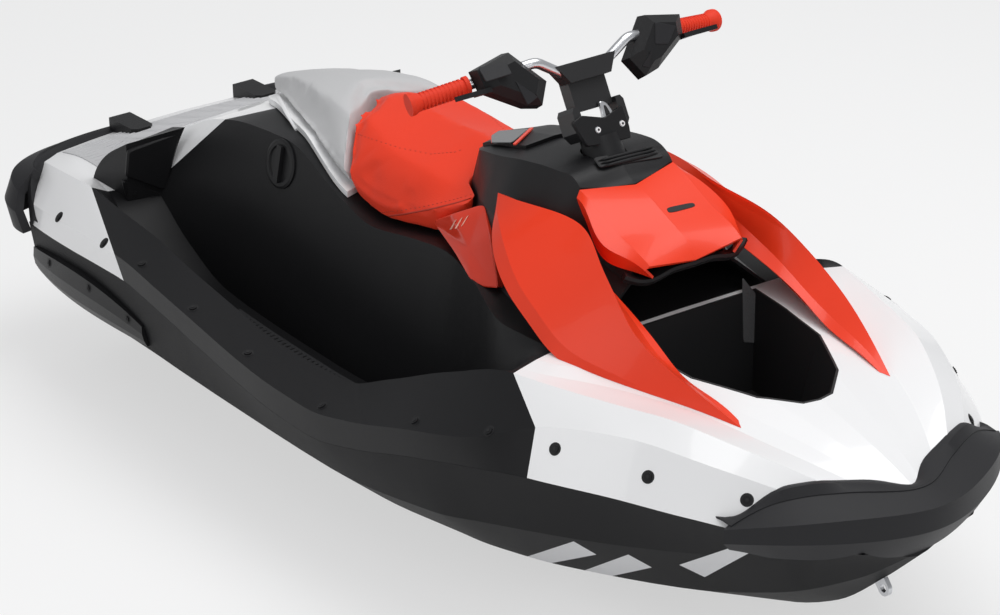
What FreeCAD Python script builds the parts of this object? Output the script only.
"""A compact one or two seat personal watercraft, built as separate moulded panels and driveline pieces.

The frame has X towards the bow, Y to port and Z up. Its origin is on the centre plane, at half the
length and at the height where still water meets the hull. Lengths are in millimetres.
"""
import FreeCAD, Part
import Sketcher
import math
import os
import re

DOC = FreeCAD.newDocument("watercraft")
SHEET = DOC.addObject("Spreadsheet::Sheet", "sizes")
SUBPARTS = []
VEC = FreeCAD.Vector

# Driving sizes, in millimetres and degrees
SIZES = {
    "length_overall": 2790.0,
    "beam": 1180.0,
    "draft": 200.0,
    "moulded_depth": 500.0,
    "hull_wall": 8.0,
    "deck_wall": 6.0,
    "seam_gap": 0.4,
    "cut_overrun": 20.0,
    "running_gap": 5.0,
    # pump and jet
    "shaft_height": 125.0,
    "pump_front": -880.0,
    "pump_length": 200.0,
    "pump_radius": 85.0,
    "pump_wall": 8.0,
    "flange": 10.0,
    "pump_hub_radius": 30.0,
    "venturi_length": 135.0,
    "venturi_outlet_radius": 50.0,
    "impeller_length": 60.0,
    "impeller_clearance": 2.5,
    "blade_thickness": 5.0,
    "blade_turn_angle": 60.0,
    "blade_start_angle": 15.0,
    "vane_turn_angle": 18.0,
    "stator_length": 70.0,
    "shaft_radius": 12.0,
    "shaft_clearance": 3.0,
    "trim_ring_radius": 83.0,
    "trim_ring_wall": 8.0,
    "trim_ring_width": 36.0,
    "nozzle_radius": 68.0,
    "nozzle_outlet_radius": 47.0,
    "nozzle_wall": 6.0,
    "nozzle_length": 100.0,
    "gimbal_setback": 10.0,
    "steering_room": 9.0,
    "pin_radius": 6.0,
    "pin_clearance": 0.3,
    "pin_head": 4.0,
    "bracket_thickness": 8.0,
    "bracket_height": 34.0,
    "gate_radius": 150.0,
    "gate_wall": 7.0,
    "gate_arm": 7.0,
    "gate_half_angle": 38.0,
    "gate_rest_angle": 78.0,
    # tunnel and intake
    "tunnel_half_width": 128.0,
    "tunnel_roof": 282.0,
    "duct_half_width": 82.0,
    "duct_length": 330.0,
    "ride_plate_height": 12.0,
    "ride_plate_thickness": 8.0,
    "ride_plate_edge": 12.0,
    "grate_bar": 10.0,
    "grate_length": 260.0,
    # engine
    "engine_length": 480.0,
    "engine_width": 300.0,
    "engine_height": 340.0,
    "engine_front": 150.0,
    "engine_stand": 12.0,
    "engine_foot": 45.0,
    # steering
    "steer_base_x": 318.0,
    "steer_stand": 24.0,
    "steer_lean_angle": 27.0,
    "neck_radius": 46.0,
    "neck_height": 70.0,
    "column_half_width": 66.0,
    "column_depth": 60.0,
    "cheek_thickness": 19.0,
    "riser_travel": 45.0,
    "post_depth": 34.0,
    "slide_clearance": 0.4,
    "clamp_half_width": 64.0,
    "clamp_height": 40.0,
    "clamp_wing": 12.0,
    "bar_height": 141.0,
    "bar_ahead": 17.0,
    "bar_radius": 11.0,
    "bar_straight": 48.0,
    "bar_knee_reach": 118.0,
    "bar_knee_ahead": 16.0,
    "bar_knee_rise": 40.0,
    "bar_half_width": 392.0,
    "bar_sweep_back": 58.0,
    "bar_end_rise": 29.0,
    "bar_bend_radius": 34.0,
    "grip_length": 134.0,
    "grip_radius": 16.0,
    "grip_end_radius": 24.0,
    "grip_flange_radius": 20.0,
    "grip_flange_width": 9.0,
    "grip_clearance": 0.2,
    "grip_end": 3.0,
    "pod_place": 185.0,
    "pod_size": 100.0,
    "pod_back": 35.0,
    "pod_front": 38.0,
    "lever_blade": 10.0,
    "lever_reach": 52.0,
    "lever_span": 82.0,
    "lever_drop": 24.0,
    # covers and small parts
    "eye_plate": 10.0,
    "eye_radius": 9.0,
    "eye_width": 34.0,
    "fairing_wall": 5.0,
    "hood_wall": 6.0,
    "console_wall": 6.0,
    "tray_wall": 5.0,
    "tray_floor": 380.0,
    "tray_mouth": 620.0,
    "bumper_wall": 10.0,
    "stern_bumper_wall": 20.0,
    "panel_root": 30.0,
    "gauge_thickness": 8.0,
    "cleat_length": 112.0,
    "cleat_width": 58.0,
    "cleat_height": 9.0,
    "cap_radius": 56.0,
    "cap_height": 14.0,
    "sponson_width": 26.0,
    # seat
    "seat_gap": 2.2,
    "pad_edge": 2.0,
    "trim_thickness": 14.0,
    "trim_proud": 8.0,
    "trim_end_gap": 9.0,
    "trim_room": 3.0,
}


def fill_sheet():
    """Writes each driving size into its own cell, with its name as the alias."""
    for row, (name, value) in enumerate(SIZES.items(), start=1):
        cell = "A%d" % row
        SHEET.set(cell, str(value))
        SHEET.setAlias(cell, name)
    DOC.recompute()


def formula(text):
    """The text with the name of each size turned into a reference to its cell."""
    return re.sub(r"[a-z_]+", lambda found: "sizes." + found[0] if found[0] in SIZES else found[0], text)


def mm(text):
    """The value of a size, or of a sum of sizes, read from the sheet."""
    return float(SHEET.evalExpression(formula(text)))


fill_sheet()
HALF_LENGTH = mm("length_overall / 2")
HALF_BEAM = mm("beam / 2")
DEPTH = mm("moulded_depth")
DRAFT = mm("draft")
GAP = mm("seam_gap")

# Stations of the driveline, as sums of sizes
PUMP_AFT = "(pump_front - pump_length)"
VENTURI_AFT = "(pump_front - pump_length - venturi_length + steering_room)"
GIMBAL = "(pump_front - pump_length - venturi_length - gimbal_setback)"
ARM_INSIDE = "(trim_ring_radius + running_gap)"
ARM_OUTSIDE = "(trim_ring_radius + running_gap + bracket_thickness)"
FLANGE_RADIUS = "(trim_ring_radius + running_gap + bracket_thickness + pin_radius)"
GIMBAL_X = mm(GIMBAL)
AXIS_Z = mm("shaft_height - draft")


def level(height):
    """Z of a height above the keel."""
    return height - DRAFT


def place(x_share, y_share, z_share):
    """A point given as shares of the half length, the half beam and the moulded depth."""
    return VEC(x_share * HALF_LENGTH, y_share * HALF_BEAM, level(z_share * DEPTH))


def keep(label, obj, placement=None):
    """Names a finished sub-part and puts it in place."""
    obj.Label = label
    if placement is not None:
        obj.Placement = placement
    SUBPARTS.append(obj)
    return obj


def shaped(label, shape, placement=None):
    """An object whose shape is made with the geometry functions."""
    obj = DOC.addObject("Part::Feature", label + "_form")
    obj.Shape = shape
    if placement is not None:
        obj.Placement = placement
    return obj


def feature(label, shape, placement=None):
    """A sub-part whose shape is made with the geometry functions."""
    return keep(label, shaped(label, shape), placement)


def bound(kind, name, at=("0", "0", "0"), **texts):
    """An object whose place and properties follow the sheet."""
    obj = DOC.addObject(kind, name)
    for axis, text in zip("xyz", at):
        obj.setExpression("Placement.Base." + axis, formula(text))
    for prop, text in texts.items():
        obj.setExpression(prop, formula(text))
    return obj


def joined(label, pieces):
    """Several objects fused into one."""
    obj = DOC.addObject("Part::MultiFuse", label)
    obj.Shapes = pieces
    obj.Refine = True
    return obj


def carved(label, base, tool):
    """An object with another cut out of it."""
    obj = DOC.addObject("Part::Cut", label)
    obj.Base = base
    obj.Tool = tool
    obj.Refine = True
    return obj


def twin(name, port):
    """The starboard twin of a port sub-part."""
    obj = DOC.addObject("Part::Mirroring", name)
    obj.Source = port
    obj.Normal = VEC(0, 1, 0)
    return keep(name, obj)


def side_pair(name, starboard):
    """A moulded starboard piece and its port twin."""
    twin(name + "_port", feature(name + "_starboard", starboard))


# Sketched bodies
def origin_part(body, role):
    """One of a body's own origin planes or axes."""
    return next(item for item in body.Origin.OriginFeatures if item.Role == role)


def sketch_on(body, name, role):
    """An empty sketch on one of a body's origin planes."""
    sketch = body.newObject("Sketcher::SketchObject", name)
    sketch.AttachmentSupport = [(origin_part(body, role), "")]
    sketch.MapMode = "FlatFace"
    return sketch


def pinned(sketch, geometry, point, x_text, y_text):
    """Ties a point of the sketch to its place, given as two sums of sizes."""
    for kind, text in (("DistanceX", x_text), ("DistanceY", y_text)):
        index = sketch.addConstraint(Sketcher.Constraint(kind, -1, 1, geometry, point, mm(text)))
        sketch.setExpression("Constraints[%d]" % index, formula(text))


def outline(body, name, role, corners):
    """A closed outline whose corners are given as pairs of sums of sizes."""
    sketch = sketch_on(body, name, role)
    spots = [VEC(mm(x), mm(y), 0) for x, y in corners]
    count = len(spots)
    for k in range(count):
        sketch.addGeometry(Part.LineSegment(spots[k], spots[(k + 1) % count]))
    for k in range(count):
        sketch.addConstraint(Sketcher.Constraint("Coincident", k, 2, (k + 1) % count, 1))
    for k, (x_text, y_text) in enumerate(corners):
        pinned(sketch, k, 1, x_text, y_text)
    return sketch


def circle_on(body, name, role, x_text, y_text, radius):
    """A circle on one of a body's origin planes."""
    sketch = sketch_on(body, name, role)
    sketch.addGeometry(Part.Circle(VEC(mm(x_text), mm(y_text), 0), VEC(0, 0, 1), mm(radius)))
    pinned(sketch, 0, 3, x_text, y_text)
    index = sketch.addConstraint(Sketcher.Constraint("Radius", 0, mm(radius)))
    sketch.setExpression("Constraints[%d]" % index, formula(radius))
    return sketch


def extruded(body, kind, name, sketch, length, side="Symmetric"):
    """A pad or a pocket of a sketch."""
    step = body.newObject("PartDesign::" + kind, name)
    step.Profile = sketch
    step.SideType = side
    step.setExpression("Length", formula(length))
    return step


def turned(body, name, corners, axis="H_Axis"):
    """An outline in the body's XZ plane, turned once round one of its own axes."""
    sketch = outline(body, name + "_profile", "XZ_Plane", corners)
    step = body.newObject("PartDesign::Revolution", name)
    step.Profile = sketch
    step.ReferenceAxis = (sketch, [axis])
    step.Angle = 360
    return step


def body_on_shaft(label):
    """An empty body whose X axis is the shaft line."""
    return bound("PartDesign::Body", label, at=("0", "0", "shaft_height - draft"))


# Smooth lines along the craft
def monotone(xs, values):
    """A smooth function through the given values that never swings past them."""
    slopes = [(values[k + 1] - values[k]) / (xs[k + 1] - xs[k]) for k in range(len(xs) - 1)]
    tangents = [slopes[0]]
    for before, after in zip(slopes, slopes[1:]):
        tangents.append(0.0 if before * after <= 0 else 2 * before * after / (before + after))
    tangents.append(slopes[-1])

    def at(x):
        k = max(j for j in range(len(xs) - 1) if j == 0 or xs[j] <= x)
        step = xs[k + 1] - xs[k]
        u = (x - xs[k]) / step
        h00 = (1 + 2 * u) * (1 - u) ** 2
        h01 = u * u * (3 - 2 * u)
        h10 = u * (1 - u) ** 2
        h11 = u * u * (u - 1)
        return (
            h00 * values[k]
            + h10 * step * tangents[k]
            + h01 * values[k + 1]
            + h11 * step * tangents[k + 1]
        )

    return at


def section_lines(stations_shares):
    """Turns rows of (x, (y, z), (y, z), ...) shares into one (y, z) function of x for each point."""
    xs = [row[0] for row in stations_shares]
    lines = []
    for k in range(1, len(stations_shares[0])):
        y_at = monotone(xs, [row[k][0] for row in stations_shares])
        z_at = monotone(xs, [row[k][1] for row in stations_shares])
        lines.append((y_at, z_at))
    return lines


def section(lines, x_share):
    """The (y, z) points of a section in millimetres, from the outer edge to the centre."""
    return [(y(x_share) * HALF_BEAM, level(z(x_share) * DEPTH)) for y, z in lines]


def spread(first, last, steps):
    """Evenly spaced values from the first to the last."""
    return [first + (last - first) * j / steps for j in range(steps)] + [last]


def shifted(points, k, distance):
    """Point k of a section path, moved to the right of the path by a distance."""
    here = points[k]
    normals = []
    for a, b in ((k - 1, k), (k, k + 1)):
        if a < 0 or b >= len(points):
            continue
        dy, dz = points[b][0] - points[a][0], points[b][1] - points[a][1]
        size = math.hypot(dy, dz)
        normals.append((dz / size, -dy / size))
    ny = sum(n[0] for n in normals) / len(normals)
    nz = sum(n[1] for n in normals) / len(normals)
    size2 = max(ny * ny + nz * nz, 0.25)
    return (here[0] + distance * ny / size2, here[1] + distance * nz / size2)


def level_rim(path, k, wall):
    """The inner point beside an end of a section path, at the same height as that end."""
    (y, z), (next_y, next_z) = path[k], path[1 if k == 0 else -2]
    reach = wall * math.hypot(next_y - y, next_z - z) / abs(next_z - z)
    return (y - math.copysign(reach, y), z)


def walled(path, wall, outwards=1):
    """The inner points of a section path, with rims that stay level."""
    last = len(path) - 1
    return [
        level_rim(path, k, wall) if k in (0, last) else shifted(path, k, outwards * wall)
        for k in range(len(path))
    ]


def mirror_path(points):
    """A half section from the starboard edge to the centre, completed to the port edge."""
    starboard = [(-y, z) for y, z in points]
    return starboard + [(y, z) for y, z in reversed(points[:-1])]


# Solids from rows of points
def rail_edge(points):
    """A smooth edge through the points."""
    if len(points) == 2:
        return Part.makeLine(points[0], points[1])
    curve = Part.BSplineCurve()
    curve.interpolate(points)
    return curve.toShape()


def sewn(faces):
    """One closed solid from faces that share their edges."""
    shell = Part.makeShell(faces)
    shell.sewShape()
    solid = Part.makeSolid(shell)
    if solid.Volume < 0:
        solid.reverse()
    return solid


def thick_skin(outer, inner):
    """A solid between two grids of points. Rows run across, and lines through the rows are smooth."""
    rows, columns = len(outer), len(outer[0])
    outer_rails = [rail_edge([outer[j][i] for j in range(rows)]) for i in range(columns)]
    inner_rails = [rail_edge([inner[j][i] for j in range(rows)]) for i in range(columns)]
    faces = []
    for i in range(columns - 1):
        faces.append(Part.makeRuledSurface(outer_rails[i], outer_rails[i + 1]))
        faces.append(Part.makeRuledSurface(inner_rails[i], inner_rails[i + 1]))
    for i in (0, columns - 1):
        faces.append(Part.makeRuledSurface(outer_rails[i], inner_rails[i]))
    for j in (0, rows - 1):
        for i in range(columns - 1):
            top = Part.makeLine(outer[j][i], outer[j][i + 1])
            bottom = Part.makeLine(inner[j][i], inner[j][i + 1])
            faces.append(Part.makeRuledSurface(top, bottom))
    return sewn(faces)


def banded(lines, starts, ends, steps, wall):
    """A moulded panel along the craft. Each line of the section has its own start and end."""
    outer, inner = [], []
    count = len(lines)
    columns = list(range(count)) + list(range(count - 2, -1, -1))
    for j in range(steps + 1):
        outer_row, inner_row = [], []
        for n, k in enumerate(columns):
            x_share = spread(starts[k], ends[k], steps)[j]
            path = mirror_path(section(lines, x_share))
            x = x_share * HALF_LENGTH
            outer_row.append(VEC(x, *path[n]))
            inner_row.append(VEC(x, *walled(path, wall)[n]))
        outer.append(outer_row)
        inner.append(inner_row)
    return thick_skin(outer, inner)


def largest(shape):
    """The main solid that a cut leaves."""
    return max(shape.Solids, key=lambda piece: piece.Volume)


def cleared(shape, neighbours):
    """The shape without what its neighbours fill, one after the other."""
    for neighbour in neighbours:
        shape = shape.cut(neighbour)
    return largest(shape)


def box_between(low, high):
    """A box from its lowest corner to its highest."""
    size = high - low
    return Part.makeBox(size.x, size.y, size.z, low)


def rod(start, end, radius):
    """A round bar between two points."""
    return Part.makeCylinder(radius, (end - start).Length, start, end - start)


def prism_y(points_xz, half_width):
    """An outline in the centre plane, extruded to both sides."""
    wire = Part.makePolygon([VEC(x, -half_width, z) for x, z in points_xz + points_xz[:1]])
    return Part.Face(wire).extrude(VEC(0, 2 * half_width, 0))


# Half sections of the deck as shares: joint, side crease, rail top, foot, inner foot, shoulder, centre
DECK_STATIONS_SHARES = [
    (-0.975, (0.797, 0.690), (0.783, 0.780), (0.680, 0.910),
     (0.610, 0.924), (0.460, 0.934), (0.260, 0.944), (0, 0.950)),
    (-0.860, (0.847, 0.704), (0.834, 0.800), (0.720, 0.950),
     (0.650, 0.970), (0.490, 0.980), (0.300, 1.020), (0, 1.030)),
    (-0.720, (0.890, 0.734), (0.881, 0.840), (0.754, 0.980),
     (0.686, 0.930), (0.508, 0.940), (0.345, 1.170), (0, 1.190)),
    (-0.620, (0.912, 0.756), (0.910, 0.860), (0.771, 0.960),
     (0.735, 0.740), (0.500, 0.740), (0.342, 1.290), (0, 1.290)),
    (-0.520, (0.932, 0.772), (0.936, 0.880), (0.783, 0.940),
     (0.754, 0.600), (0.492, 0.600), (0.342, 1.350), (0, 1.340)),
    (-0.400, (0.952, 0.740), (0.958, 0.850), (0.800, 0.890),
     (0.770, 0.560), (0.492, 0.560), (0.346, 1.370), (0, 1.340)),
    (-0.250, (0.970, 0.680), (0.979, 0.800), (0.812, 0.830),
     (0.782, 0.536), (0.492, 0.536), (0.370, 1.250), (0, 1.240)),
    (-0.150, (0.980, 0.640), (0.990, 0.764), (0.820, 0.796),
     (0.790, 0.526), (0.492, 0.526), (0.380, 1.190), (0, 1.200)),
    (-0.050, (0.988, 0.610), (0.997, 0.740), (0.822, 0.790),
     (0.792, 0.520), (0.492, 0.526), (0.370, 1.220), (0, 1.220)),
    (0.050, (0.992, 0.604), (1.000, 0.734), (0.822, 0.800),
     (0.792, 0.520), (0.492, 0.530), (0.380, 1.250), (0, 1.250)),
    (0.150, (0.988, 0.650), (0.995, 0.776), (0.814, 0.900),
     (0.780, 0.550), (0.508, 0.580), (0.440, 1.240), (0, 1.260)),
    (0.300, (0.969, 0.756), (0.975, 0.880), (0.780, 1.070),
     (0.729, 0.800), (0.600, 0.860), (0.540, 1.190), (0, 1.230)),
    (0.420, (0.932, 0.824), (0.924, 0.950), (0.729, 1.165),
     (0.690, 1.170), (0.620, 1.185), (0.540, 1.195), (0, 1.200)),
    (0.540, (0.868, 0.870), (0.771, 1.060), (0.650, 1.160),
     (0.530, 1.150), (0.407, 1.165), (0.237, 1.180), (0, 1.185)),
    (0.660, (0.766, 0.880), (0.660, 1.090), (0.560, 1.160),
     (0.400, 1.120), (0.300, 1.130), (0.169, 1.145), (0, 1.150)),
    (0.780, (0.630, 0.860), (0.525, 1.040), (0.430, 1.095),
     (0.300, 1.060), (0.210, 1.065), (0.110, 1.075), (0, 1.080)),
    (0.880, (0.440, 0.800), (0.345, 0.950), (0.270, 0.990),
     (0.190, 0.985), (0.130, 0.990), (0.070, 0.995), (0, 1.000)),
    (0.955, (0.225, 0.740), (0.150, 0.860), (0.110, 0.890),
     (0.080, 0.900), (0.055, 0.910), (0.030, 0.920), (0, 0.920)),
]
# Half sections of the hull below the joint: upper chine, lower chine, keel
HULL_STATIONS_SHARES = [
    (-0.895, (0.800, 0.440), (0.680, 0.270), (0, 0.0)),
    (-0.720, (0.845, 0.450), (0.690, 0.262), (0, 0.0)),
    (-0.290, (0.890, 0.430), (0.716, 0.246), (0, 0.0)),
    (0.050, (0.905, 0.420), (0.729, 0.246), (0, 0.0)),
    (0.300, (0.885, 0.480), (0.720, 0.300), (0, 0.008)),
    (0.420, (0.830, 0.530), (0.670, 0.318), (0, 0.024)),
    (0.540, (0.746, 0.570), (0.560, 0.330), (0, 0.060)),
    (0.660, (0.619, 0.600), (0.420, 0.345), (0, 0.130)),
    (0.780, (0.466, 0.640), (0.255, 0.400), (0, 0.270)),
    (0.880, (0.288, 0.680), (0.120, 0.520), (0, 0.480)),
    (0.950, (0.136, 0.710), (0.040, 0.660), (0, 0.650)),
]
DECK_LINES = section_lines(DECK_STATIONS_SHARES)
HULL_LINES = [DECK_LINES[0]] + section_lines(HULL_STATIONS_SHARES)

# Where each deck line passes from the stern panel to the tub and on to the bow panel
STERN_END_SHARES = [-0.885, -0.900, -0.940, -0.953, -0.962, -0.966, -0.966]
STERN_EDGE_SHARES = [-0.520, -0.545, -0.738, -0.738, -0.715, -0.590, -0.560]
BOW_EDGE_SHARES = [0.534, 0.516, 0.423, 0.420, 0.418, 0.416, 0.416]
BOW_END_SHARES = [0.834, 0.862, 0.888, 0.900, 0.915, 0.935, 0.953]
TRANSOM_SHARE = -0.895
STEM_SHARE = 0.950
STERN_STEPS, TUB_STEPS, BOW_STEPS, STEM_STEPS = 10, 30, 12, 4


def joint_stations():
    """Stations of the hull, which are those of the panels along the joint."""
    stations = [TRANSOM_SHARE]
    stations += spread(STERN_END_SHARES[0], STERN_EDGE_SHARES[0], STERN_STEPS)[:-1]
    stations += spread(STERN_EDGE_SHARES[0], BOW_EDGE_SHARES[0], TUB_STEPS)[:-1]
    stations += spread(BOW_EDGE_SHARES[0], BOW_END_SHARES[0], BOW_STEPS)[:-1]
    return stations + spread(BOW_END_SHARES[0], STEM_SHARE, STEM_STEPS)


def hull_rows():
    """Outer, inner and lid points of the hull at each station."""
    outer, inner, lid = [], [], []
    for x_share in joint_stations():
        half = section(HULL_LINES, x_share)
        half[0] = (half[0][0], half[0][1] - GAP)
        path = mirror_path(half)
        x = x_share * HALF_LENGTH
        outer.append([VEC(x, y, z) for y, z in path])
        inner.append([VEC(x, y, z) for y, z in walled(path, mm("hull_wall"), outwards=-1)])
        rim_a, rim_b = outer[-1][0], outer[-1][-1]
        lid.append([rim_a + (rim_b - rim_a) * (k / (len(path) - 1)) for k in range(len(path))])
    return outer, inner, lid


def hull_block():
    """The hull's form filled, with the seam gap added all round. What is fixed to the hull is cut by it."""
    outer, _, _ = hull_rows()
    grown, lid = [], []
    for row in outer:
        path = [(p.y, p.z) for p in row]
        moved = [VEC(row[0].x, *shifted(path, k, GAP)) for k in range(len(path))]
        grown.append(moved)
        rim_a, rim_b = moved[0], moved[-1]
        lid.append([rim_a + (rim_b - rim_a) * (k / (len(path) - 1)) for k in range(len(path))])
    return thick_skin(grown, lid)


def deck_block():
    """Everything below the deck, with the seam gap added on top. What stands on the deck is cut by it."""
    surface, bottom = [], []
    first, last, steps = -0.965, 0.950, 60
    for x_share in spread(first, last, steps):
        path = mirror_path(section(DECK_LINES, x_share))
        raised = [shifted(path, k, -GAP) for k in range(len(path))]
        x = x_share * HALF_LENGTH
        surface.append([VEC(x, y, z) for y, z in raised])
        bottom.append([VEC(x, y, level(0)) for y, z in raised])
    return thick_skin(surface, bottom)


def top_height(lines, x_share, y):
    """Height of a section's surface over a place, on the stretch that rises towards the centre."""
    points = section(lines, x_share)
    for (y0, z0), (y1, z1) in reversed(list(zip(points, points[1:]))):
        if y1 <= abs(y) <= y0:
            return z0 + (z1 - z0) * (y0 - abs(y)) / (y0 - y1)
    return points[0][1]


def make_hull():
    """The hull moulding with its transom, pump tunnel and intake duct."""
    outer, inner, lid = hull_rows()
    shell = thick_skin(outer, inner)
    over = mm("cut_overrun")
    wall = mm("hull_wall")
    transom_x = TRANSOM_SHARE * HALF_LENGTH
    transom_wire = Part.makePolygon(outer[0] + outer[0][:1])
    transom = Part.Face(transom_wire).extrude(VEC(wall, 0, 0))
    # The pump chamber is open to the stern and below, and the duct ramps up to it.
    half = mm("tunnel_half_width")
    roof = level(mm("tunnel_roof"))
    front = mm("pump_front")
    below = level(-over)
    chamber = box_between(VEC(transom_x - over, -half, below), VEC(front, half, roof))
    chamber_skin = box_between(
        VEC(transom_x, -half - wall, below), VEC(front + wall, half + wall, roof + wall)
    )
    duct_half = mm("duct_half_width")
    bore = mm("pump_radius - pump_wall")
    duct_end = front + mm("duct_length")
    duct_outline = [
        (front - over, below),
        (front - over, AXIS_Z + bore),
        (front, AXIS_Z + bore),
        (duct_end, level(0)),
        (duct_end, below),
    ]
    duct_skin_outline = [
        (front - wall, below),
        (front - wall, AXIS_Z + bore + wall),
        (front, AXIS_Z + bore + wall),
        (duct_end + 2 * wall, level(0) + wall),
        (duct_end + 2 * wall, below),
    ]
    duct = prism_y(duct_outline, duct_half)
    duct_skin = prism_y(duct_skin_outline, duct_half + wall)
    # The walls reach below the raised bottom, down to the ride plate and beside the grate.
    plate_top = level(mm("ride_plate_height + ride_plate_thickness + seam_gap"))
    plate_skirt = box_between(
        VEC(transom_x, -half - wall, plate_top), VEC(front + wall, half + wall, roof)
    )
    grate_skirt = box_between(
        VEC(front, -duct_half - wall, level(mm("ride_plate_height"))),
        VEC(front + mm("grate_length + grate_bar"), duct_half + wall, AXIS_Z),
    )
    filled = thick_skin(outer, lid).fuse([plate_skirt, grate_skirt])
    liner = chamber_skin.fuse(duct_skin).common(filled)
    shaft_hole = rod(
        VEC(front, 0, AXIS_Z), VEC(duct_end + 2 * over, 0, AXIS_Z), mm("shaft_radius + shaft_clearance")
    )
    shape = shell.fuse([transom, liner]).cut([chamber, duct, shaft_hole])
    return shape.removeSplitter()


def tray_outline(share):
    """The plan outline of the bow locker, from its mouth, 0, to its floor, 1."""
    mouth_shares = [(0.425, 0.325), (0.600, 0.295), (0.700, 0.190), (0.752, 0.070), (0.758, 0)]
    floor_shares = [(0.440, 0.280), (0.570, 0.230), (0.650, 0.140), (0.682, 0.050), (0.685, 0)]
    half = []
    for (x0, y0), (x1, y1) in zip(mouth_shares, floor_shares):
        half.append(((x0 + (x1 - x0) * share) * HALF_LENGTH, (y0 + (y1 - y0) * share) * HALF_BEAM))
    return [(x, -y) for x, y in half] + [(x, y) for x, y in reversed(half[:-1])]


def tray_solid(grow, top, bottom):
    """The locker's form between two heights above the keel, grown outwards by a distance."""
    wires = []
    mouth = mm("tray_mouth")
    for height in (top, bottom):
        share = (mouth - height) / (mouth - mm("tray_floor"))
        points = [VEC(x, y, level(height)) for x, y in tray_outline(share)]
        wire = Part.makePolygon(points + points[:1])
        wires.append(wire.makeOffset2D(grow) if grow else wire)
    return Part.makeLoft(wires, True, True)


def make_deck_panels():
    """The stern panel, the footwell tub and the bow panel, which share one set of lines."""
    wall = mm("deck_wall")
    gap = GAP / HALF_LENGTH
    stern = banded(DECK_LINES, STERN_END_SHARES, [s - gap for s in STERN_EDGE_SHARES], STERN_STEPS, wall)
    tub = banded(DECK_LINES, STERN_EDGE_SHARES, BOW_EDGE_SHARES, TUB_STEPS, wall)
    bow = banded(DECK_LINES, [s + gap for s in BOW_EDGE_SHARES], BOW_END_SHARES, BOW_STEPS, wall)
    mouth = tray_solid(GAP, mm("tray_mouth + 3 * cut_overrun"), mm("tray_floor"))
    return stern, tub, bow.cut(mouth)


def make_tray(block):
    """The open bow locker that hangs in the bow panel, its rim trimmed to the deck's slope."""
    wall = mm("tray_wall")
    top = mm("tray_mouth + cut_overrun")
    outer = tray_solid(0, top, mm("tray_floor"))
    inner = tray_solid(-wall, top + mm("cut_overrun"), mm("tray_floor") + wall)
    return outer.cut(inner).common(block)


# Mouldings over rows of shares. Each row runs from the outer line to the inner line.
BOW_BUMPER_SHARES = [
    [(0.828, -0.560, 0.872), (0.834, -0.600, 0.860), (0.834, -0.600, 0.800), (0.830, -0.570, 0.760)],
    [(0.874, -0.351, 0.966), (0.905, -0.455, 0.900), (0.905, -0.455, 0.816), (0.884, -0.410, 0.700)],
    [(0.925, -0.150, 0.966), (0.966, -0.250, 0.920), (0.964, -0.250, 0.816), (0.915, -0.210, 0.600)],
    [(0.954, 0, 0.960), (1.000, 0, 0.920), (0.995, 0, 0.816), (0.905, 0, 0.520)],
]
STERN_BUMPER_SHARES = [
    [(-0.974, -0.300, 0.960), (-0.996, -0.300, 0.930), (-1.000, -0.300, 0.850), (-0.990, -0.300, 0.700)],
    [(-0.970, -0.560, 0.950), (-0.994, -0.620, 0.915), (-0.998, -0.640, 0.820), (-0.986, -0.630, 0.680)],
    [(-0.952, -0.700, 0.935), (-0.968, -0.790, 0.890), (-0.972, -0.820, 0.790), (-0.958, -0.815, 0.665)],
    [(-0.912, -0.770, 0.930), (-0.908, -0.855, 0.850), (-0.900, -0.885, 0.760), (-0.885, -0.875, 0.660)],
]
# Rows of the side fairing: lower edge, band crease, crest, inner crease, inner edge
FAIRING_SHARES = [
    [(0.195, -0.405, 1.540), (0.186, -0.380, 1.575),
     (0.172, -0.347, 1.610), (0.176, -0.315, 1.590), (0.180, -0.298, 1.560)],
    [(0.251, -0.500, 1.420), (0.262, -0.475, 1.480),
     (0.265, -0.325, 1.620), (0.268, -0.293, 1.580), (0.268, -0.280, 1.520)],
    [(0.308, -0.539, 1.334), (0.318, -0.515, 1.385),
     (0.355, -0.302, 1.604), (0.352, -0.290, 1.530), (0.352, -0.278, 1.440)],
    [(0.366, -0.559, 1.270), (0.376, -0.538, 1.320),
     (0.429, -0.363, 1.536), (0.412, -0.335, 1.422), (0.416, -0.292, 1.380)],
    [(0.437, -0.568, 1.192), (0.444, -0.546, 1.240),
     (0.482, -0.397, 1.452), (0.476, -0.339, 1.354), (0.466, -0.302, 1.336)],
    [(0.525, -0.508, 1.146), (0.527, -0.497, 1.188),
     (0.541, -0.420, 1.342), (0.541, -0.347, 1.260), (0.538, -0.314, 1.256)],
    [(0.595, -0.454, 1.120), (0.595, -0.444, 1.150),
     (0.593, -0.410, 1.270), (0.595, -0.347, 1.204), (0.595, -0.317, 1.180)],
    [(0.667, -0.393, 1.096), (0.663, -0.386, 1.118),
     (0.656, -0.376, 1.190), (0.656, -0.339, 1.160), (0.656, -0.312, 1.148)],
    [(0.737, -0.329, 1.066), (0.737, -0.326, 1.070),
     (0.737, -0.320, 1.080), (0.737, -0.312, 1.076), (0.737, -0.305, 1.064)],
]
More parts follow.
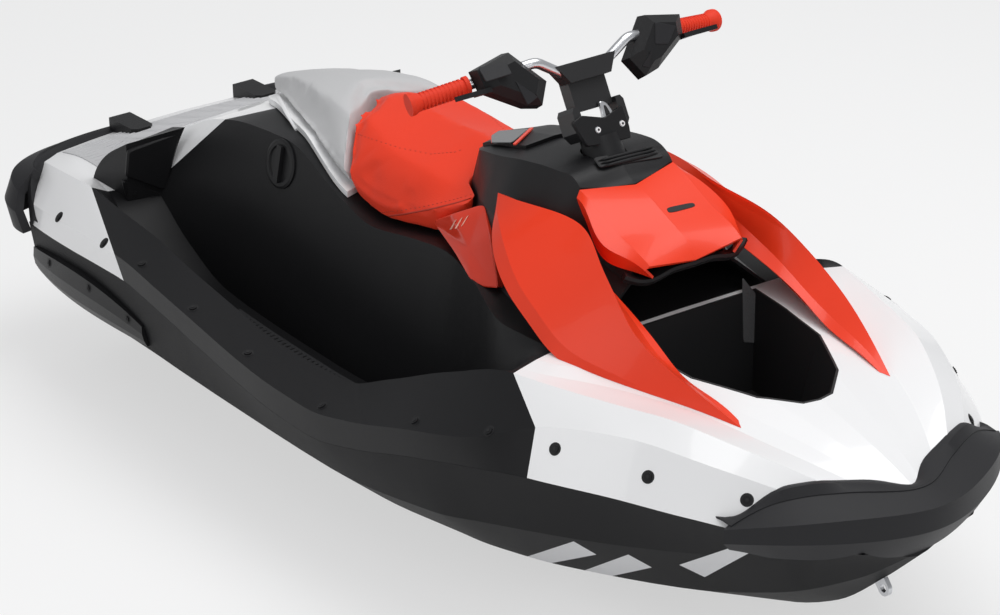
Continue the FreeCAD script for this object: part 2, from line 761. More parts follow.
# Half rows of the hood: flange, widest line, crease, centre
HOOD_SHARES = [
    [(0.298, -0.212, 1.600), (0.296, -0.222, 1.655), (0.294, -0.205, 1.684), (0.316, 0, 1.664)],
    [(0.330, -0.236, 1.560), (0.330, -0.242, 1.632), (0.336, -0.205, 1.636), (0.345, 0, 1.640)],
    [(0.388, -0.262, 1.470), (0.390, -0.272, 1.540), (0.391, -0.205, 1.562), (0.394, 0, 1.578)],
    [(0.428, -0.225, 1.450), (0.430, -0.235, 1.502), (0.427, -0.205, 1.530), (0.430, 0, 1.530)],
    [(0.452, -0.180, 1.425), (0.453, -0.215, 1.470), (0.457, -0.200, 1.490), (0.457, 0, 1.456)],
]
# Half sections of the console: foot, waist, shoulder, crown. The foot's height comes from the deck.
CONSOLE_SHARES = [
    (-0.002, (0.200, 0), (0.170, 1.460), (0.130, 1.600), (0, 1.630)),
    (0.037, (0.250, 0), (0.215, 1.460), (0.190, 1.640), (0, 1.655)),
    (0.100, (0.330, 0), (0.290, 1.480), (0.215, 1.675), (0, 1.690)),
    (0.170, (0.390, 0), (0.330, 1.480), (0.225, 1.715), (0, 1.735)),
    (0.240, (0.420, 0), (0.310, 1.490), (0.222, 1.735), (0, 1.755)),
    (0.275, (0.430, 0), (0.290, 1.490), (0.205, 1.730), (0, 1.745)),
    (0.305, (0.425, 0), (0.250, 1.470), (0.200, 1.660), (0, 1.680)),
    (0.345, (0.420, 0), (0.235, 1.440), (0.190, 1.620), (0, 1.640)),
    (0.391, (0.400, 0), (0.225, 1.400), (0.185, 1.555), (0, 1.575)),
    (0.415, (0.390, 0), (0.215, 1.380), (0.175, 1.525), (0, 1.545)),
]
CONSOLE_STEPS = 26
GAUGE_SHARES = {"first": 0.006, "last": 0.118, "half_width": 0.129}
WEDGE_FRONT_SHARES = [
    [(-0.705, -0.644, 0.780), (-0.695, -0.470, 0.780)],
    [(-0.701, -0.644, 0.892), (-0.691, -0.470, 0.922)],
    [(-0.694, -0.644, 1.196), (-0.660, -0.424, 1.242)],
]
WEDGE_BACK_SHARES = [
    [(-0.800, -0.670, 0.780), (-0.790, -0.424, 0.780)],
    [(-0.790, -0.670, 0.955), (-0.775, -0.424, 0.990)],
    [(-0.735, -0.655, 1.130), (-0.700, -0.424, 1.210)],
]
# Rows of the knee panel, from its top edge to its bottom edge
KNEE_PANEL_SHARES = [
    [(0.009, -0.368, 1.344), (0.014, -0.376, 1.320)],
    [(0.054, -0.359, 1.420), (0.086, -0.407, 1.244)],
    [(0.100, -0.345, 1.496), (0.143, -0.430, 1.220)],
    [(0.161, -0.393, 1.400), (0.222, -0.450, 1.264)],
]
# Half sections of the seat: edge, side, shoulder, crown. The edge's height comes from the deck.
SEAT_SHARES = [
    (-0.645, (0.045, 0), (0.050, 1.375), (0.035, 1.383), (0, 1.385)),
    (-0.600, (0.100, 0), (0.105, 1.385), (0.075, 1.420), (0, 1.425)),
    (-0.555, (0.140, 0), (0.150, 1.410), (0.105, 1.455), (0, 1.465)),
    (-0.485, (0.200, 0), (0.215, 1.420), (0.150, 1.495), (0, 1.510)),
    (-0.400, (0.262, 0), (0.285, 1.420), (0.200, 1.530), (0, 1.550)),
    (-0.320, (0.310, 0), (0.335, 1.400), (0.235, 1.540), (0, 1.565)),
    (-0.240, (0.335, 0), (0.362, 1.350), (0.250, 1.500), (0, 1.560)),
    (-0.150, (0.335, 0), (0.365, 1.310), (0.255, 1.460), (0, 1.550)),
    (-0.080, (0.320, 0), (0.350, 1.320), (0.250, 1.450), (0, 1.560)),
    (-0.012, (0.290, 0), (0.325, 1.370), (0.225, 1.460), (0, 1.570)),
    (0.055, (0.220, 0), (0.300, 1.450), (0.215, 1.490), (0, 1.500)),
]
SEAT_JOIN_SHARES = [-0.225, -0.240, -0.290, -0.360]
SEAT_STEPS = 10
CLEAT_SHARES = (-0.925, -0.295)
BOW_EYE_SHARE = 0.872
CAP_SHARES = {"x": -0.409, "up": 0.86}

CONSOLE_LINES = section_lines(CONSOLE_SHARES)
SEAT_LINES = section_lines(SEAT_SHARES)


def grid_of(rows_shares):
    """Rows of points from rows of shares."""
    return [[place(*point) for point in row] for row in rows_shares]


def inward(grid, wall, inside):
    """A grid moved by a wall against its own normals, on the side of a place found for each point."""
    moved = []
    rows, columns = len(grid), len(grid[0])
    for j in range(rows):
        line = []
        for i in range(columns):
            along = grid[min(j + 1, rows - 1)][i] - grid[max(j - 1, 0)][i]
            across = grid[j][min(i + 1, columns - 1)] - grid[j][max(i - 1, 0)]
            normal = along.cross(across)
            normal.normalize()
            if normal.dot(inside(grid[j]) - grid[j][i]) < 0:
                normal = normal * -1
            line.append(grid[j][i] + normal * wall)
        moved.append(line)
    return moved


def wrapped(half_rows):
    """Rows round the bow from starboard to port, from the starboard half with its centre row last."""
    port = [[VEC(p.x, -p.y, p.z) for p in row] for row in half_rows[:-1]]
    return half_rows + port[::-1]


def across(half_rows):
    """Rows across the craft, from rows that end on the centre line."""
    return [row + [VEC(p.x, -p.y, p.z) for p in reversed(row[:-1])] for row in half_rows]


def row_middle(row):
    """The mean point of a row, lowered below the skin that the row lies in."""
    total = VEC(0, 0, 0)
    for point in row:
        total = total + point
    return total * (1 / len(row)) - VEC(0, 0, DEPTH / 8)


def craft_middle(row):
    """The point on the centre plane beside a row."""
    return VEC(row[0].x / 2, 0, level(DEPTH / 2))


def make_hood(rise):
    """The hood's skin, or with a rise the room that it and its seam take up."""
    grid = across(grid_of(HOOD_SHARES))
    under = inward(grid, mm("hood_wall") + (GAP if rise else 0), row_middle)
    if rise:
        return thick_skin([[p + VEC(0, 0, rise) for p in row] for row in grid], under)
    return thick_skin(grid, under)


def console_rows():
    """Outer and inner rows of the console, whose feet stand on the deck."""
    wall = mm("console_wall")
    outer, inner = [], []
    for x_share in spread(CONSOLE_SHARES[0][0], CONSOLE_SHARES[-1][0], CONSOLE_STEPS):
        half = section(CONSOLE_LINES, x_share)
        foot_y = half[0][0]
        ground = max(top_height(DECK_LINES, x_share, foot_y), top_height(DECK_LINES, x_share, foot_y - wall))
        half[0] = (foot_y, ground + 2 * GAP)
        path = mirror_path(half)
        x = x_share * HALF_LENGTH
        outer.append([VEC(x, y, z) for y, z in path])
        inner.append([VEC(x, y, z) for y, z in walled(path, wall)])
    return outer, inner


def make_console(block):
    """The frame between the seat and the hood, which it carries on its nose, with the hole for the neck."""
    height = mm("neck_height")
    hole = Part.makeCylinder(mm("neck_radius + seam_gap"), 2 * height, VEC(0, 0, -height))
    hole.Placement = STEER
    return cleared(thick_skin(*console_rows()), [make_hood(mm("neck_height")), make_hood(0), hole, block])


def make_gauge():
    """The display that lies on the console's crown."""
    under, over = [], []
    thickness = mm("gauge_thickness")
    half_width = GAUGE_SHARES["half_width"] * HALF_BEAM
    for x_share in spread(GAUGE_SHARES["first"], GAUGE_SHARES["last"], 3):
        x = x_share * HALF_LENGTH
        row = [VEC(x, y, top_height(CONSOLE_LINES, x_share, y) + GAP) for y in (-half_width, 0, half_width)]
        under.append(row)
        over.append([p + VEC(0, 0, thickness) for p in row])
    return thick_skin(over, under)


def make_knee_panel(neighbours):
    """The starboard clear panel between the seat and the fairing, with a root that seats on the body."""
    grid = grid_of(KNEE_PANEL_SHARES)
    return cleared(thick_skin(grid, inward(grid, mm("panel_root"), craft_middle)), neighbours)


def console_block():
    """The console's form, filled and grown by the seam gap."""
    outer, _ = console_rows()
    grown, floor = [], []
    for row in outer:
        path = [(p.y, p.z) for p in row]
        moved = [shifted(path, k, -GAP) for k in range(len(path))]
        grown.append([VEC(row[0].x, y, z) for y, z in moved])
        floor.append([VEC(row[0].x, y, level(DEPTH / 2)) for y, z in moved])
    return thick_skin(grown, floor)


def make_wedge(neighbours):
    """The starboard foot wedge at the back of the footwell, cut to the deck that it stands on."""
    solid = thick_skin(grid_of(WEDGE_FRONT_SHARES), grid_of(WEDGE_BACK_SHARES))
    return cleared(solid, neighbours)


def seat_grid(starts, ends, lift, grow=0):
    """Rows of a cushion's top and of its underside, which follows the deck."""
    top, under = [], []
    columns = [0, 1, 2, 3, 2, 1, 0]
    for j in range(SEAT_STEPS + 1):
        top_row, under_row = [], []
        for n, k in enumerate(columns):
            x_share = spread(starts[k], ends[k], SEAT_STEPS)[j]
            half = section(SEAT_LINES, x_share)
            edge = half[0][0]
            ground = top_height(DECK_LINES, x_share, edge) + lift
            half[0] = (edge, ground + mm("pad_edge"))
            y, z = mirror_path(half)[n]
            x = x_share * HALF_LENGTH
            top_row.append(VEC(x, y, z))
            y = (edge + grow) * (2 * n / (len(columns) - 1) - 1)
            limited = math.copysign(min(abs(y), edge), y)
            under_row.append(VEC(x, y, top_height(DECK_LINES, x_share, limited) + lift))
        top.append(top_row)
        under.append(under_row)
    return top, under


def front_pad_room(row_ends):
    """An upright block over the front cushion's outline, which keeps the board behind that cushion."""
    edge = section(SEAT_LINES, row_ends[0])[0][0] + mm("trim_proud + trim_end_gap")
    steps = len(row_ends) - 1
    half = []
    for k, x_share in enumerate(row_ends):
        half.append((x_share * HALF_LENGTH - mm("trim_end_gap"), edge * (k / steps - 1)))
    front_x = SEAT_SHARES[-1][0] * HALF_LENGTH
    plan = [(front_x, -edge)] + half + [(x, -y) for x, y in reversed(half[:-1])] + [(front_x, edge)]
    wire = Part.makePolygon([VEC(x, y, 0) for x, y in plan + plan[:1]])
    return Part.Face(wire).extrude(VEC(0, 0, DEPTH))


def make_seats(console_form):
    """The front and the rear cushion, which meet on a slanted line, and the board under the rear one."""
    gap = GAP / HALF_LENGTH
    front_ends = [SEAT_SHARES[-1][0]] * 4
    rear_starts = [SEAT_SHARES[0][0]] * 4
    rear_ends = [s - gap for s in SEAT_JOIN_SHARES]
    low, thickness = mm("seat_gap"), mm("trim_thickness")
    front = largest(thick_skin(*seat_grid(SEAT_JOIN_SHARES, front_ends, low)).cut(console_form))
    rear = thick_skin(*seat_grid(rear_starts, rear_ends, low + thickness + mm("trim_room")))
    board_ends = [SEAT_JOIN_SHARES[0] - gap] * 4
    _, under = seat_grid(rear_starts, board_ends, low, mm("trim_proud"))
    _, over = seat_grid(rear_starts, board_ends, low + thickness, mm("trim_proud"))
    board = largest(thick_skin(over, under).cut(front_pad_room(SEAT_JOIN_SHARES)))
    return front, cleared(rear, [front, board]), board


def hull_side(x_share, share, out):
    """A point on the hull's topside, a share of the way down from the joint, moved outwards."""
    (y0, z0), (y1, z1) = section(HULL_LINES, x_share)[:2]
    length = math.hypot(y1 - y0, z1 - z0)
    ny, nz = (z0 - z1) / length, (y1 - y0) / length
    y = y0 + (y1 - y0) * share + ny * out
    z = z0 + (z1 - z0) * share + nz * out
    return VEC(x_share * HALF_LENGTH, -y, z)


def make_sponson(hull_room):
    """The starboard stabiliser on the hull's side."""
    rows_shares = [(-0.885, 0.45, 0.90), (-0.800, 0.34, 0.97), (-0.640, 0.34, 0.97), (-0.490, 0.60, 0.92)]
    outs_shares = [0.5, 0.95, 1.0, 0.4]
    outer, inner = [], []
    for (x_share, top, bottom), out_share in zip(rows_shares, outs_shares):
        out = mm("sponson_width") * out_share
        heights = [top, top + (bottom - top) * 0.35, top + (bottom - top) * 0.7, bottom]
        outs = [2 * GAP + out * 0.5, out, out, 2 * GAP + out * 0.5]
        outer.append([hull_side(x_share, s, o) for s, o in zip(heights, outs)])
        inner.append([hull_side(x_share, s, GAP) for s in heights])
    return largest(thick_skin(outer, inner).cut(hull_room))


def make_cleats(neighbours):
    """The two low blocks on the aft deck."""
    length, width, height = mm("cleat_length"), mm("cleat_width"), mm("cleat_height")
    x, y = CLEAT_SHARES[0] * HALF_LENGTH, CLEAT_SHARES[1] * HALF_BEAM
    solids = []
    for side in (-1, 1):
        middle = VEC(x, side * abs(y), 0)
        steps = (-length / 2, 0, length / 2)
        top = max(top_height(DECK_LINES, (x + step) / HALF_LENGTH, y) for step in steps)
        foot = Part.makePolygon([
            VEC(middle.x + dx * length / 2, middle.y + dy * width / 2, level(DEPTH / 2))
            for dx, dy in ((-1, -1), (0.8, -1), (1, -0.6), (1, 0.6), (0.8, 1), (-1, 1), (-1, -1))
        ])
        solid = Part.Face(foot).extrude(VEC(0, 0, top + height - level(DEPTH / 2)))
        solids.append(cleared(solid, neighbours))
    return Part.makeCompound(solids)


def twisted_blade(x0, x1, r0, r1, start_deg, turn_deg, thickness, steps=5):
    """A blade round the shaft line whose angle changes along it."""
    outer, inner = [], []
    for share in spread(0, 1, steps):
        x = x0 + (x1 - x0) * share
        angle = math.radians(start_deg + turn_deg * share)
        rows = ([], [])
        for radius in spread(r0, r1, 2):
            half = thickness / 2 / radius
            for row, side in zip(rows, (-half, half)):
                y = radius * math.cos(angle + side)
                z = AXIS_Z + radius * math.sin(angle + side)
                row.append(VEC(x, y, z))
        outer.append(rows[0])
        inner.append(rows[1])
    return thick_skin(outer, inner)


def blades(label, x0, x1, count, reach, start_deg, turn_deg):
    """Evenly spaced blades that grow out of a hub."""
    thickness = mm("blade_thickness")
    root = mm("pump_hub_radius") - thickness / 2
    ring = [
        shaped(
            "%s_%d" % (label, k),
            twisted_blade(x0, x1, root, reach, start_deg + 360 * k / count, turn_deg, thickness),
        )
        for k in range(count)
    ]
    return ring


def make_pump():
    """The pump casing, its five stator vanes and the cone behind them."""
    front = "pump_front - seam_gap"
    inner, outer = "pump_radius - pump_wall", "pump_radius"
    vane_front = PUMP_AFT + " + stator_length"
    body = body_on_shaft("pump_casing")
    turned(body, "casing", [
        (front, inner),
        (front, outer + " + flange"),
        (front + " - flange", outer + " + flange"),
        (front + " - flange", outer),
        (PUMP_AFT + " + flange", outer),
        (PUMP_AFT + " + flange", FLANGE_RADIUS),
        (PUMP_AFT, FLANGE_RADIUS),
        (PUMP_AFT, inner),
    ])
    cone = body_on_shaft("stator_cone")
    turned(cone, "cone", [
        (vane_front, "0"),
        (vane_front, "pump_hub_radius"),
        (PUMP_AFT, "pump_hub_radius"),
        (PUMP_AFT + " - venturi_length * 2 / 3", "pump_hub_radius / 3"),
        (PUMP_AFT + " - venturi_length * 2 / 3", "0"),
    ])
    reach = mm("pump_radius - pump_wall / 2")
    inset = mm("blade_thickness / 2")
    turn = -mm("vane_turn_angle")
    vanes = blades("vane", mm(vane_front) - inset, mm(PUMP_AFT) + inset, 5, reach, 90, turn)
    return joined("pump_housing", [body, cone] + vanes)


def make_venturi():
    """The cone that narrows the jet, bolted behind the casing."""
    front = PUMP_AFT + " - seam_gap"
    body = body_on_shaft("venturi")
    turned(body, "venturi_cone", [
        (front, "pump_radius - pump_wall"),
        (front, FLANGE_RADIUS),
        (front + " - flange", FLANGE_RADIUS),
        (front + " - flange", "pump_radius"),
        (VENTURI_AFT, "venturi_outlet_radius"),
        (VENTURI_AFT, "venturi_outlet_radius - nozzle_wall"),
    ])
    return body


def make_bracket():
    """The port arm behind the venturi's flange, with the pin of the gimbal and of the gate."""
    arm = bound(
        "Part::Box",
        "gimbal_arm",
        at=(GIMBAL + " - bracket_height / 2", ARM_INSIDE, "shaft_height - draft - bracket_height / 2"),
        Length="venturi_length + gimbal_setback + bracket_height / 2 - flange - 2 * seam_gap",
        Width="bracket_thickness",
        Height="bracket_height",
    )
    pin = bound(
        "Part::Cylinder",
        "gimbal_pin",
        at=(GIMBAL, "trim_ring_radius - trim_ring_wall", "shaft_height - draft"),
        Radius="pin_radius",
        Height=ARM_OUTSIDE + " + running_gap + gate_arm + pin_head - trim_ring_radius + trim_ring_wall",
    )
    pin.Placement.Rotation = FreeCAD.Rotation(VEC(1, 0, 0), -90)
    return joined("gimbal_bracket_port", [arm, pin])


def make_impeller():
    """The three twisted blades, their hub and the drive shaft up to the engine."""
    front = "(pump_front - seam_gap - running_gap)"
    aft = "(pump_front - seam_gap - running_gap - impeller_length)"
    engine_aft = "engine_front - engine_length - seam_gap"
    body = body_on_shaft("hub_and_shaft")
    turned(body, "hub", [
        (aft, "0"),
        (aft, "pump_hub_radius"),
        (front, "pump_hub_radius"),
        (front + " + flange", "shaft_radius"),
        (engine_aft, "shaft_radius"),
        (engine_aft, "0"),
    ])
    inset = mm("blade_thickness / 2")
    reach = mm("pump_radius - pump_wall - impeller_clearance")
    turn = mm("blade_turn_angle")
    start = mm("blade_start_angle")
    turning = blades("blade", mm(front) - inset, mm(aft) + inset, 3, reach, start, turn)
    return joined("impeller", [body] + turning)


def make_trim_ring():
    """The gimbal ring that tips up and down about the side pins and holds the nozzle's upright pins."""
    body = body_on_shaft("trim_ring")
    front, aft = GIMBAL + " + trim_ring_width / 2", GIMBAL + " - trim_ring_width / 2"
    turned(body, "ring", [
        (front, "trim_ring_radius - trim_ring_wall"),
        (front, "trim_ring_radius"),
        (aft, "trim_ring_radius"),
        (aft, "trim_ring_radius - trim_ring_wall"),
    ])
    for name, role in (("side_holes", "XZ_Plane"), ("upright_holes", "XY_Plane")):
        circle = circle_on(body, name + "_circle", role, GIMBAL, "0", "pin_radius + pin_clearance")
        extruded(body, "Pocket", name, circle, "2 * trim_ring_radius + cut_overrun")
    return body


def make_nozzle():
    """The steering nozzle with its two upright pins."""
    front = "(pump_front - pump_length - venturi_length - gimbal_setback - pin_radius / 2)"
    collar = front + " - trim_ring_width / 2"
    aft = front + " - nozzle_length"
    body = body_on_shaft("nozzle_tube")
    turned(body, "tube", [
        (front, "nozzle_radius - nozzle_wall"),
        (front, "nozzle_radius"),
        (collar, "nozzle_radius"),
        (aft, "nozzle_outlet_radius"),
        (aft, "nozzle_outlet_radius - nozzle_wall"),
        (collar, "nozzle_radius - nozzle_wall"),
    ])
    root = "nozzle_radius - nozzle_wall / 2"
    pieces = [body]
    lengths = {
        "boss": ("2 * pin_radius", "trim_ring_radius - trim_ring_wall - running_gap / 2 - (%s)" % root),
        "pin": ("pin_radius", "trim_ring_radius - (%s)" % root),
    }
    for name, (radius, length) in lengths.items():
        above, under = "shaft_height - draft + " + root, "shaft_height - draft - (%s)" % root
        upper = bound(
            "Part::Cylinder", "upper_" + name, at=(GIMBAL, "0", above), Radius=radius, Height=length
        )
        lower = bound(
            "Part::Cylinder", "lower_" + name, at=(GIMBAL, "0", under), Radius=radius, Height=length
        )
        lower.Placement.Rotation = FreeCAD.Rotation(VEC(1, 0, 0), 180)
        pieces += [upper, lower]
    return joined("steering_nozzle", pieces)


def make_gate():
    """The reverse gate: a curved bucket on two arms, at rest above the nozzle."""
    radius, wall = mm("gate_radius"), mm("gate_wall")
    arm_y = mm(ARM_OUTSIDE + " + running_gap")
    outer_y = arm_y + mm("gate_arm")
    half, centre = mm("gate_half_angle"), mm("gate_rest_angle")
    outer, inner = [], []
    for angle in spread(math.radians(centre - half), math.radians(centre + half), 6):
        rows = []
        for r in (radius, radius - wall):
            x = GIMBAL_X - r * math.cos(angle)
            z = AXIS_Z + r * math.sin(angle)
            rows.append([VEC(x, -outer_y, z), VEC(x, outer_y, z)])
        outer.append(rows[0])
        inner.append(rows[1])
    bucket = thick_skin(outer, inner)
    parts = []
    eye = 3 * mm("pin_radius")
    for side in (-1, 1):
        y0, y1 = sorted((side * arm_y, side * outer_y))
        rim = [VEC((p[0].x + q[0].x) / 2, y0, (p[0].z + q[0].z) / 2) for p, q in zip(outer, inner)]
        heel = []
        for turn in (math.radians(centre + 90), math.radians(centre + 180), math.radians(centre + 270)):
            heel.append(VEC(GIMBAL_X - eye * math.cos(turn), y0, AXIS_Z + eye * math.sin(turn)))
        face = Part.Face(Part.makePolygon(rim + heel + rim[:1]))
        parts.append(face.extrude(VEC(0, y1 - y0, 0)))
    hole = rod(
        VEC(GIMBAL_X, -outer_y * 2, AXIS_Z),
        VEC(GIMBAL_X, outer_y * 2, AXIS_Z),
        mm("pin_radius + pin_clearance"),
    )
    return bucket.fuse(parts).cut(hole).removeSplitter()


def make_ride_plate():
    """The flat plate that closes the tunnel below the pump, its front corners cut back."""
    middle = "ride_plate_height - draft + ride_plate_thickness / 2"
    body = bound("PartDesign::Body", "ride_plate", at=("0", "0", middle))
    half = "(tunnel_half_width + hull_wall)"
    front = "pump_front - seam_gap"
    aft = "length_overall / 2 * %r" % TRANSOM_SHARE
    edge = "ride_plate_edge"
    sketch = outline(body, "plate_outline", "XY_Plane", [
        (aft, "-" + half),
        (front + " - " + edge, "-" + half),
        (front, "-%s + %s" % (half, edge)),
        (front, "%s - %s" % (half, edge)),
        (front + " - " + edge, half),
        (aft, half),
    ])
    extruded(body, "Pad", "plate", sketch, "ride_plate_thickness")
    return body


def make_grate():
    """The bars across the water intake, repeated from side to side."""
    middle = "ride_plate_height - draft + grate_bar / 2"
    body = bound("PartDesign::Body", "intake_grate", at=("0", "0", middle))
    half = "(duct_half_width - seam_gap)"
    aft, front = "pump_front", "pump_front + grate_length"
    for name, x0, x1 in (
        ("tail_bar", aft, aft + " + grate_bar"),
        ("front_bar", front + " - grate_bar", front),
    ):
        corners = [(x0, "-" + half), (x1, "-" + half), (x1, half), (x0, half)]
        sketch = outline(body, name + "_outline", "XY_Plane", corners)
        if name == "tail_bar":
            extruded(body, "Pad", name, sketch, "grate_bar")
    rail = outline(body, "rail_outline", "XY_Plane", [
        (aft, "-" + half),
        (front, "-" + half),
        (front, "-%s + grate_bar" % half),
        (aft, "-%s + grate_bar" % half),
    ])
    bar = extruded(body, "Pad", "rail", rail, "grate_bar")
    rails = body.newObject("PartDesign::LinearPattern", "rails")
    rails.Originals = [bar]
    rails.Direction = (origin_part(body, "Y_Axis"), [""])
    rails.setExpression("Length", formula("2 * %s - grate_bar" % half))
    rails.Occurrences = 4
    body.Tip = rails
    extruded(body, "Pad", "front_bar", body.getObject("front_bar_outline"), "grate_bar")
    return body


def hull_floor(x, y):
    """Height of the hull's inner bottom."""
    (chine_y, chine_z), (_, keel_z) = section(HULL_LINES, x / HALF_LENGTH)[-2:]
    slope = (chine_z - keel_z) / chine_y
    return keel_z + slope * y + mm("hull_wall") * math.sqrt(1 + slope * slope)


def make_engine():
    """The engine, as one block on four feet."""
    front, half = mm("engine_front"), mm("engine_width / 2")
    aft = mm("engine_front - engine_length")
    bottom = max(hull_floor(aft, half), hull_floor(front, half)) + mm("engine_stand")
    block = bound(
        "Part::Box",
        "engine_block",
        at=("engine_front - engine_length", "-engine_width / 2", "0"),
        Length="engine_length",
        Width="engine_width",
        Height="engine_height",
    )
    block.setExpression("Placement.Base.z", None)
    block.Placement.Base.z = bottom
    feet = []
    foot = mm("engine_foot")
    for x in (aft + foot, front - 2 * foot):
        for side in (-1, 1):
            y0, y1 = sorted((side * half, side * (half - foot)))
            floor = max(hull_floor(x, half), hull_floor(x + foot, half)) + GAP
            foot_block = box_between(VEC(x, y0, floor), VEC(x + foot, y1, bottom + foot))
            feet.append(shaped("engine_foot", foot_block))
    return joined("engine", [block] + feet)


# Steering, in the column's own upright frame and then leaned back
STEER_X_SHARE = mm("steer_base_x") / HALF_LENGTH
STEER_BASE = VEC(mm("steer_base_x"), 0, section(CONSOLE_LINES, STEER_X_SHARE)[-1][1] + mm("steer_stand"))
STEER = FreeCAD.Placement(STEER_BASE, FreeCAD.Rotation(VEC(0, 1, 0), -mm("steer_lean_angle")))
COLUMN_HEIGHT = "(bar_height - clamp_height / 2 - riser_travel - running_gap)"
POST_HALF = "(column_half_width - cheek_thickness - slide_clearance)"


def make_neck():
    """The collar in the console that the fork turns on."""
    neck = bound(
        "Part::Cone",
        "steering_neck",
        Radius1="neck_radius",
        Radius2="neck_radius * 9 / 10",
        Height="neck_height",
    )
    offset = FreeCAD.Placement(VEC(0, 0, -mm("neck_height + slide_clearance")), FreeCAD.Rotation())
    return keep("steering_neck", bare(neck), STEER.multiply(offset))


def bare(obj):
    """An object whose place is no longer bound, so that it can be leaned."""
    for axis in "xyz":
        obj.setExpression("Placement.Base." + axis, None)
    return obj


def make_column():
    """The fork that turns: a foot and two cheeks, drawn as one outline from the front."""
    body = bare(bound("PartDesign::Body", "steering_column"))
    half, cheek = "column_half_width", "cheek_thickness"
    slot = "(column_half_width - cheek_thickness)"
    sketch = outline(body, "fork_outline", "YZ_Plane", [
        ("-%s * 4 / 5" % half, "0"),
        ("%s * 4 / 5" % half, "0"),
        (half, cheek),
        (half, COLUMN_HEIGHT + " - " + cheek + " / 2"),
        (half + " - cheek_thickness / 3", COLUMN_HEIGHT),
        (slot, COLUMN_HEIGHT),
        (slot, cheek + " / 2"),
        ("-" + slot, cheek + " / 2"),
        ("-" + slot, COLUMN_HEIGHT),
        ("-" + half + " + cheek_thickness / 3", COLUMN_HEIGHT),
        ("-" + half, COLUMN_HEIGHT + " - " + cheek + " / 2"),
        ("-" + half, cheek),
    ])
    extruded(body, "Pad", "fork", sketch, "column_depth")
    return body


def make_riser():
    """The post that slides in the fork, with the winged clamp for the handlebar."""
    post = bare(bound("PartDesign::Body", "slide_post"))
    low = "cheek_thickness / 2 + riser_travel + running_gap"
    top = "bar_height"
    sketch = outline(post, "post_outline", "YZ_Plane", [
        ("-" + POST_HALF, low),
        (POST_HALF, low),
        (POST_HALF, top),
        ("-" + POST_HALF, top),
    ])
    extruded(post, "Pad", "post", sketch, "post_depth")
    clamp = bare(bound("PartDesign::Body", "clamp"))
    clamp.Placement.Base.x = mm("bar_ahead")
    wing = "clamp_half_width + clamp_wing"
    half, tall = "clamp_half_width", "clamp_height / 2"
    sketch = outline(clamp, "clamp_outline", "YZ_Plane", [
        ("-%s + clamp_wing" % half, "%s - %s" % (top, tall)),
        ("%s - clamp_wing" % half, "%s - %s" % (top, tall)),
        (half, top),
        (wing, "%s + %s" % (top, tall)),
        (half + " - clamp_wing", "%s + %s" % (top, tall)),
        ("-%s + clamp_wing" % half, "%s + %s" % (top, tall)),
        ("-(%s)" % wing, "%s + %s" % (top, tall)),
        ("-" + half, top),
    ])
    extruded(clamp, "Pad", "clamp_block", sketch, "clamp_height")
    bore = shaped("bar_bore", bar_form(mm("bar_radius + grip_clearance")))
    return carved("bar_riser", joined("riser_block", [post, clamp]), bore)


def bar_points():
    """Half the handlebar's centre line in the column's frame, from the middle to the port end."""
    ahead, height = mm("bar_ahead"), mm("bar_height")
    middle = VEC(ahead, 0, height)
    bend = VEC(ahead, mm("bar_straight"), height)
    knee = VEC(ahead + mm("bar_knee_ahead"), mm("bar_knee_reach"), height + mm("bar_knee_rise"))
    end = VEC(ahead - mm("bar_sweep_back"), mm("bar_half_width"), height + mm("bar_end_rise"))
    return [middle, bend, knee, end]


def bent_bar(points, bend_radius, radius):
    """Round straight runs through the points, joined by tangent bends."""
    pieces = []
    start = points[0]
    for before, here, after in zip(points, points[1:], points[2:]):
        back, ahead = (before - here), (after - here)
        back.normalize()
        ahead.normalize()
        turn = math.pi - back.getAngle(ahead)
        reach = bend_radius * math.tan(turn / 2)
        enter, leave = here + back * reach, here + ahead * reach
        bisector = back + ahead
        bisector.normalize()
        centre = here + bisector * (bend_radius / math.cos(turn / 2))
        disc = Part.Face(Part.Wire(Part.makeCircle(radius, enter, back)))
        pieces.append(rod(start, enter, radius))
        pieces.append(disc.revolve(centre, ahead.cross(back), math.degrees(turn)))
        start = leave
    pieces.append(rod(start, points[-1], radius))
    return pieces[0].fuse(pieces[1:]).removeSplitter()


def bar_form(radius):
    """The handlebar's form: bent up and then back on both sides of the clamp."""
    half = bar_points()[1:]
    points = [VEC(p.x, -p.y, p.z) for p in reversed(half)] + half
    return bent_bar(points, mm("bar_bend_radius"), radius)


def along_bar(distance):
    """The point on the port arm of the bar at a distance from its end."""
    knee, end = bar_points()[-2:]
    back = knee - end
    back.normalize()
    return end + back * distance


def make_grip():
    """The rubber grip on the port arm, turned with its flared end and its inner flange."""
    body = bare(bound("PartDesign::Body", "grip_port"))
    bore, sleeve = "bar_radius + grip_clearance", "grip_radius"
    flange = "grip_length - grip_flange_width"
    turned(body, "sleeve", [
        ("0", "0"),
        ("grip_end_radius", "0"),
        ("grip_end_radius", "grip_flange_width"),
        (sleeve, "3 * grip_flange_width"),
        (sleeve, flange),
        ("grip_flange_radius", flange),
        ("grip_flange_radius", "grip_length"),
        (bore, "grip_length"),
        (bore, "grip_end - grip_clearance"),
        ("0", "grip_end - grip_clearance"),
    ], "V_Axis")
    inwards = along_bar(1) - along_bar(0)
    place_on_bar = FreeCAD.Placement(along_bar(-mm("grip_end")), FreeCAD.Rotation(VEC(0, 0, 1), inwards))
    return keep("grip_port", body, STEER.multiply(place_on_bar))


POD_OUTLINE_SHARES = [
    (-0.85, -0.42),
    (-0.10, 0.42),
    (0.83, 0.23),
    (0.75, -0.26),
    (-0.17, -0.82),
    (-0.56, -0.91),
]


